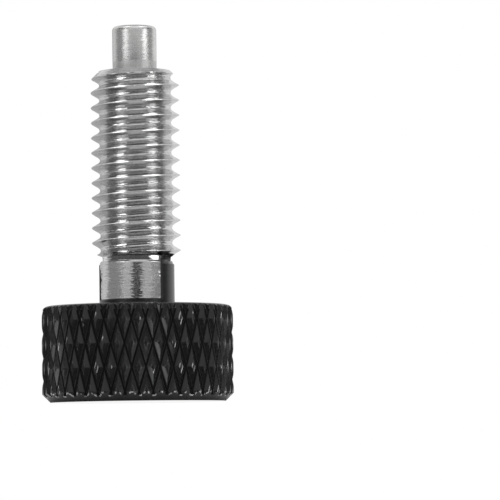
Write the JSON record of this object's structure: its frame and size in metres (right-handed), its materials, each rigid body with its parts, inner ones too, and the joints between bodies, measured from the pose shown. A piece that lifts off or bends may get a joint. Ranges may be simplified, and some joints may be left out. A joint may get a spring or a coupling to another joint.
{
  "type": "indexing plunger",
  "caption": "Spring-loaded indexing plunger: threaded steel sleeve, cylindrical locating pin, slotted tail keyed to a black diamond-knurled pull knob.",
  "frame": {"origin": "centre of the knob's flat underside", "axes": "+Z along the pull axis towards the pin's nose, -Y towards the front as pictured"},
  "size_m": [0.0126, 0.0126, 0.025],
  "materials": {
    "sleeve_steel": "turned stainless, bright",
    "pin_steel": "ground stainless, satin",
    "spring_steel": "drawn spring wire",
    "knob_black": "black anodised, knurled, satin"
  },
  "bodies": {
    "sleeve": {"threaded_sleeve": "sleeve_steel", "pin_spring": "spring_steel"},
    "plunger": {"locating_pin": "pin_steel", "knurled_knob": "knob_black"}
  },
  "joints": [
    {"name": "knob_pull", "type": "slide", "parent": "sleeve", "child": "plunger", "axis": [0, 0, -1], "range_m": [0, 0.003], "stiffness_N_per_m": 1000, "springref_m": -0.0025, "deforming": ["pin_spring"]}
  ]
}
